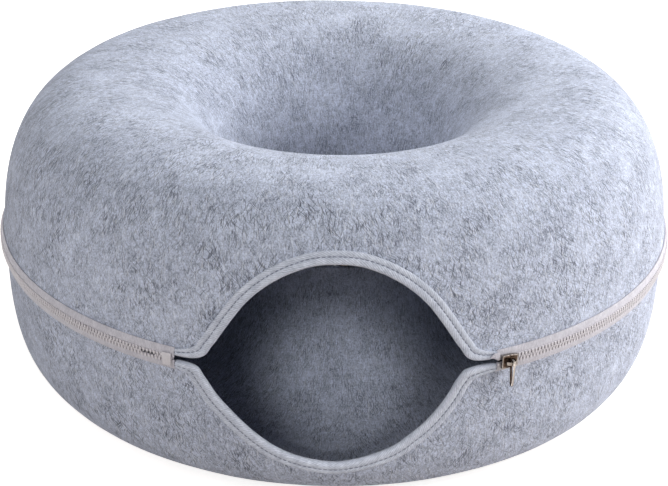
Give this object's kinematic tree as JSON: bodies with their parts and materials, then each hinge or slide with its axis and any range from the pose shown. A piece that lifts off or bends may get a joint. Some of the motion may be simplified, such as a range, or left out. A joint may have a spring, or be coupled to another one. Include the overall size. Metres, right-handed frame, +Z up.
{
  "type": "cat tunnel",
  "caption": "Round felt cat tunnel in two zipped half shells, with an eye-shaped entrance at the front and an open hole down the middle.",
  "frame": {"origin": "centre of the footprint, on the floor, with the axis of the ring on Z", "axes": "+Z up along the axis of the ring, -Y towards the entrance, +X to the side where the outer zip's slider stands"},
  "size_m": [0.5, 0.4929, 0.215],
  "materials": {
    "felt": "matt, fibrous",
    "twill_binding": "matt, woven",
    "zip_tape": "matt, woven",
    "zip_plastic": "satin",
    "zip_metal": "dark plated"
  },
  "bodies": {
    "lower_half": {"lower_felt_shell": "felt", "lower_entrance_binding": "twill_binding", "outer_zip_lower_tape": "zip_tape", "outer_zip_lower_teeth": "zip_plastic", "outer_zip_lower_stop": "zip_plastic", "outer_zip_box": "zip_plastic", "inner_zip_lower_tape": "zip_tape", "inner_zip_lower_teeth": "zip_plastic", "inner_zip_lower_stop": "zip_plastic", "inner_zip_box": "zip_plastic"},
    "upper_half": {"upper_felt_shell": "felt", "upper_entrance_binding": "twill_binding", "outer_zip_upper_tape": "zip_tape", "outer_zip_upper_teeth": "zip_plastic", "outer_zip_upper_stop": "zip_plastic", "outer_zip_pin": "zip_plastic", "inner_zip_upper_tape": "zip_tape", "inner_zip_upper_teeth": "zip_plastic", "inner_zip_upper_stop": "zip_plastic", "inner_zip_pin": "zip_plastic"},
    "outer_slider": {"outer_zip_slider": "zip_metal"},
    "outer_pull": {"outer_zip_pull": "zip_metal"},
    "inner_slider": {"inner_zip_slider": "zip_metal"},
    "inner_pull": {"inner_zip_pull": "zip_metal"}
  },
  "joints": [
    {"name": "upper_half_lift", "type": "slide", "parent": "lower_half", "child": "upper_half", "axis": [0, 0, 1], "range_m": [0, 0.25]},
    {"name": "outer_slider_run", "type": "hinge", "parent": "lower_half", "child": "outer_slider", "pos_m": [0, 0, 0.107], "axis": [0, 0, 1], "range_deg": [0, 305.5]},
    {"name": "outer_pull_swing", "type": "hinge", "parent": "outer_slider", "child": "outer_pull", "pos_m": [0.11335, -0.22842, 0.107], "axis": [-0.8958, -0.4445, 0], "range_deg": [-8, 180]},
    {"name": "inner_slider_run", "type": "hinge", "parent": "lower_half", "child": "inner_slider", "pos_m": [0, 0, 0.107], "axis": [0, 0, 1], "range_deg": [0, 342]},
    {"name": "inner_pull_swing", "type": "hinge", "parent": "inner_slider", "child": "inner_pull", "pos_m": [0.00789, -0.07262, 0.107], "axis": [0.9941, 0.1081, 0], "range_deg": [-8, 180]}
  ]
}
